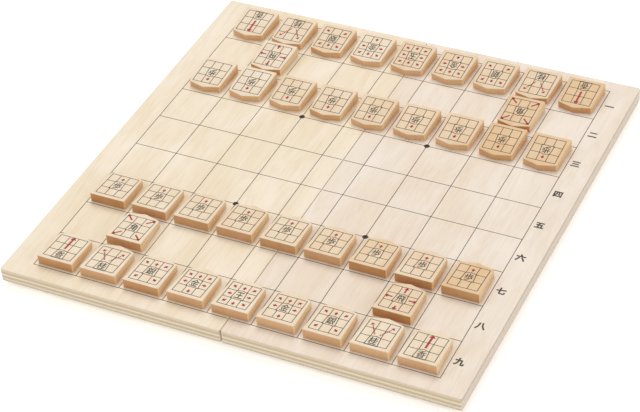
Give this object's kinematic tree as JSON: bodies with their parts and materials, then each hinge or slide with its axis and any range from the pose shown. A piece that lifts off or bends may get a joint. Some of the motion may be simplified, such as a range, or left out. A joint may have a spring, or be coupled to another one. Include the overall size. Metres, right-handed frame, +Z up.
{
  "type": "shogi board",
  "caption": "Folding wooden shogi board: plywood halves on butt hinges under the seam, small feet, and loose wedge-shaped playing pieces set out on a ruled grid.",
  "frame": {"origin": "on the table, under the middle of the board", "axes": "+X to the near player's right, +Y from the near player to the far player, +Z up"},
  "size_m": [0.305, 0.31, 0.0185],
  "materials": {
    "panel_left_wood": "thin clear satin over pale plywood, faintly yellow",
    "panel_right_wood": "thin clear satin over pale plywood, faintly pink",
    "piece_wood": "sanded pale wood, satin",
    "hinge_brass": "pressed brass, lightly worn",
    "foot_rubber": "dark matt rubber"
  },
  "bodies": {
    "left_half": {"panel_left": "panel_left_wood", "foot_front_left": "foot_rubber", "foot_back_left": "foot_rubber", "hinge_front_leaf_left": "hinge_brass", "hinge_front_pin": "hinge_brass", "hinge_front_screw_left_near": "hinge_brass", "hinge_front_screw_left_far": "hinge_brass", "hinge_back_leaf_left": "hinge_brass", "hinge_back_pin": "hinge_brass", "hinge_back_screw_left_near": "hinge_brass", "hinge_back_screw_left_far": "hinge_brass"},
    "right_half": {"panel_right": "panel_right_wood", "foot_front_right": "foot_rubber", "foot_back_right": "foot_rubber", "hinge_front_leaf_right": "hinge_brass", "hinge_front_screw_right_near": "hinge_brass", "hinge_front_screw_right_far": "hinge_brass", "hinge_back_leaf_right": "hinge_brass", "hinge_back_screw_right_near": "hinge_brass", "hinge_back_screw_right_far": "hinge_brass"},
    "near_lance_left": {"near_lance_1": "piece_wood"},
    "near_knight_left": {"near_knight_2": "piece_wood"},
    "near_silver_left": {"near_silver_3": "piece_wood"},
    "near_gold_left": {"near_gold_4": "piece_wood"},
    "near_king": {"near_king_5": "piece_wood"},
    "near_gold_right": {"near_gold_6": "piece_wood"},
    "near_silver_right": {"near_silver_7": "piece_wood"},
    "near_knight_right": {"near_knight_8": "piece_wood"},
    "near_lance_right": {"near_lance_9": "piece_wood"},
    "near_bishop": {"near_bishop_2": "piece_wood"},
    "near_rook": {"near_rook_8": "piece_wood"},
    "near_pawn_file_1": {"near_pawn_1": "piece_wood"},
    "near_pawn_file_2": {"near_pawn_2": "piece_wood"},
    "near_pawn_file_3": {"near_pawn_3": "piece_wood"},
    "near_pawn_file_4": {"near_pawn_4": "piece_wood"},
    "near_pawn_file_5": {"near_pawn_5": "piece_wood"},
    "near_pawn_file_6": {"near_pawn_6": "piece_wood"},
    "near_pawn_file_7": {"near_pawn_7": "piece_wood"},
    "near_pawn_file_8": {"near_pawn_8": "piece_wood"},
    "near_pawn_file_9": {"near_pawn_9": "piece_wood"},
    "far_lance_left": {"far_lance_1": "piece_wood"},
    "far_knight_left": {"far_knight_2": "piece_wood"},
    "far_silver_left": {"far_silver_3": "piece_wood"},
    "far_gold_left": {"far_gold_4": "piece_wood"},
    "far_king": {"far_king_5": "piece_wood"},
    "far_gold_right": {"far_gold_6": "piece_wood"},
    "far_silver_right": {"far_silver_7": "piece_wood"},
    "far_knight_right": {"far_knight_8": "piece_wood"},
    "far_lance_right": {"far_lance_9": "piece_wood"},
    "far_bishop": {"far_bishop_2": "piece_wood"},
    "far_rook": {"far_rook_8": "piece_wood"},
    "far_pawn_file_1": {"far_pawn_1": "piece_wood"},
    "far_pawn_file_2": {"far_pawn_2": "piece_wood"},
    "far_pawn_file_3": {"far_pawn_3": "piece_wood"},
    "far_pawn_file_4": {"far_pawn_4": "piece_wood"},
    "far_pawn_file_5": {"far_pawn_5": "piece_wood"},
    "far_pawn_file_6": {"far_pawn_6": "piece_wood"},
    "far_pawn_file_7": {"far_pawn_7": "piece_wood"},
    "far_pawn_file_8": {"far_pawn_8": "piece_wood"},
    "far_pawn_file_9": {"far_pawn_9": "piece_wood"}
  },
  "joints": [
    {"name": "fold", "type": "hinge", "parent": "left_half", "child": "right_half", "pos_m": [0, 0, 0.002], "axis": [0, 1, 0], "range_deg": [0, 178]},
    {"name": "lift_near_lance_left", "type": "slide", "parent": "left_half", "child": "near_lance_left", "axis": [0, 0, 1], "range_m": [0, 0.06]},
    {"name": "lift_near_knight_left", "type": "slide", "parent": "left_half", "child": "near_knight_left", "axis": [0, 0, 1], "range_m": [0, 0.06]},
    {"name": "lift_near_silver_left", "type": "slide", "parent": "left_half", "child": "near_silver_left", "axis": [0, 0, 1], "range_m": [0, 0.06]},
    {"name": "lift_near_gold_left", "type": "slide", "parent": "left_half", "child": "near_gold_left", "axis": [0, 0, 1], "range_m": [0, 0.06]},
    {"name": "lift_near_king", "type": "slide", "parent": "left_half", "child": "near_king", "axis": [0, 0, 1], "range_m": [0, 0.06]},
    {"name": "lift_near_gold_right", "type": "slide", "parent": "right_half", "child": "near_gold_right", "axis": [0, 0, 1], "range_m": [0, 0.06]},
    {"name": "lift_near_silver_right", "type": "slide", "parent": "right_half", "child": "near_silver_right", "axis": [0, 0, 1], "range_m": [0, 0.06]},
    {"name": "lift_near_knight_right", "type": "slide", "parent": "right_half", "child": "near_knight_right", "axis": [0, 0, 1], "range_m": [0, 0.06]},
    {"name": "lift_near_lance_right", "type": "slide", "parent": "right_half", "child": "near_lance_right", "axis": [0, 0, 1], "range_m": [0, 0.06]},
    {"name": "lift_near_bishop", "type": "slide", "parent": "left_half", "child": "near_bishop", "axis": [0, 0, 1], "range_m": [0, 0.06]},
    {"name": "lift_near_rook", "type": "slide", "parent": "right_half", "child": "near_rook", "axis": [0, 0, 1], "range_m": [0, 0.06]},
    {"name": "lift_near_pawn_1", "type": "slide", "parent": "left_half", "child": "near_pawn_file_1", "axis": [0, 0, 1], "range_m": [0, 0.06]},
    {"name": "lift_near_pawn_2", "type": "slide", "parent": "left_half", "child": "near_pawn_file_2", "axis": [0, 0, 1], "range_m": [0, 0.06]},
    {"name": "lift_near_pawn_3", "type": "slide", "parent": "left_half", "child": "near_pawn_file_3", "axis": [0, 0, 1], "range_m": [0, 0.06]},
    {"name": "lift_near_pawn_4", "type": "slide", "parent": "left_half", "child": "near_pawn_file_4", "axis": [0, 0, 1], "range_m": [0, 0.06]},
    {"name": "lift_near_pawn_5", "type": "slide", "parent": "left_half", "child": "near_pawn_file_5", "axis": [0, 0, 1], "range_m": [0, 0.06]},
    {"name": "lift_near_pawn_6", "type": "slide", "parent": "right_half", "child": "near_pawn_file_6", "axis": [0, 0, 1], "range_m": [0, 0.06]},
    {"name": "lift_near_pawn_7", "type": "slide", "parent": "right_half", "child": "near_pawn_file_7", "axis": [0, 0, 1], "range_m": [0, 0.06]},
    {"name": "lift_near_pawn_8", "type": "slide", "parent": "right_half", "child": "near_pawn_file_8", "axis": [0, 0, 1], "range_m": [0, 0.06]},
    {"name": "lift_near_pawn_9", "type": "slide", "parent": "right_half", "child": "near_pawn_file_9", "axis": [0, 0, 1], "range_m": [0, 0.06]},
    {"name": "lift_far_lance_left", "type": "slide", "parent": "right_half", "child": "far_lance_left", "axis": [0, 0, 1], "range_m": [0, 0.06]},
    {"name": "lift_far_knight_left", "type": "slide", "parent": "right_half", "child": "far_knight_left", "axis": [0, 0, 1], "range_m": [0, 0.06]},
    {"name": "lift_far_silver_left", "type": "slide", "parent": "right_half", "child": "far_silver_left", "axis": [0, 0, 1], "range_m": [0, 0.06]},
    {"name": "lift_far_gold_left", "type": "slide", "parent": "right_half", "child": "far_gold_left", "axis": [0, 0, 1], "range_m": [0, 0.06]},
    {"name": "lift_far_king", "type": "slide", "parent": "left_half", "child": "far_king", "axis": [0, 0, 1], "range_m": [0, 0.06]},
    {"name": "lift_far_gold_right", "type": "slide", "parent": "left_half", "child": "far_gold_right", "axis": [0, 0, 1], "range_m": [0, 0.06]},
    {"name": "lift_far_silver_right", "type": "slide", "parent": "left_half", "child": "far_silver_right", "axis": [0, 0, 1], "range_m": [0, 0.06]},
    {"name": "lift_far_knight_right", "type": "slide", "parent": "left_half", "child": "far_knight_right", "axis": [0, 0, 1], "range_m": [0, 0.06]},
    {"name": "lift_far_lance_right", "type": "slide", "parent": "left_half", "child": "far_lance_right", "axis": [0, 0, 1], "range_m": [0, 0.06]},
    {"name": "lift_far_bishop", "type": "slide", "parent": "right_half", "child": "far_bishop", "axis": [0, 0, 1], "range_m": [0, 0.06]},
    {"name": "lift_far_rook", "type": "slide", "parent": "left_half", "child": "far_rook", "axis": [0, 0, 1], "range_m": [0, 0.06]},
    {"name": "lift_far_pawn_1", "type": "slide", "parent": "right_half", "child": "far_pawn_file_1", "axis": [0, 0, 1], "range_m": [0, 0.06]},
    {"name": "lift_far_pawn_2", "type": "slide", "parent": "right_half", "child": "far_pawn_file_2", "axis": [0, 0, 1], "range_m": [0, 0.06]},
    {"name": "lift_far_pawn_3", "type": "slide", "parent": "right_half", "child": "far_pawn_file_3", "axis": [0, 0, 1], "range_m": [0, 0.06]},
    {"name": "lift_far_pawn_4", "type": "slide", "parent": "right_half", "child": "far_pawn_file_4", "axis": [0, 0, 1], "range_m": [0, 0.06]},
    {"name": "lift_far_pawn_5", "type": "slide", "parent": "left_half", "child": "far_pawn_file_5", "axis": [0, 0, 1], "range_m": [0, 0.06]},
    {"name": "lift_far_pawn_6", "type": "slide", "parent": "left_half", "child": "far_pawn_file_6", "axis": [0, 0, 1], "range_m": [0, 0.06]},
    {"name": "lift_far_pawn_7", "type": "slide", "parent": "left_half", "child": "far_pawn_file_7", "axis": [0, 0, 1], "range_m": [0, 0.06]},
    {"name": "lift_far_pawn_8", "type": "slide", "parent": "left_half", "child": "far_pawn_file_8", "axis": [0, 0, 1], "range_m": [0, 0.06]},
    {"name": "lift_far_pawn_9", "type": "slide", "parent": "left_half", "child": "far_pawn_file_9", "axis": [0, 0, 1], "range_m": [0, 0.06]}
  ]
}
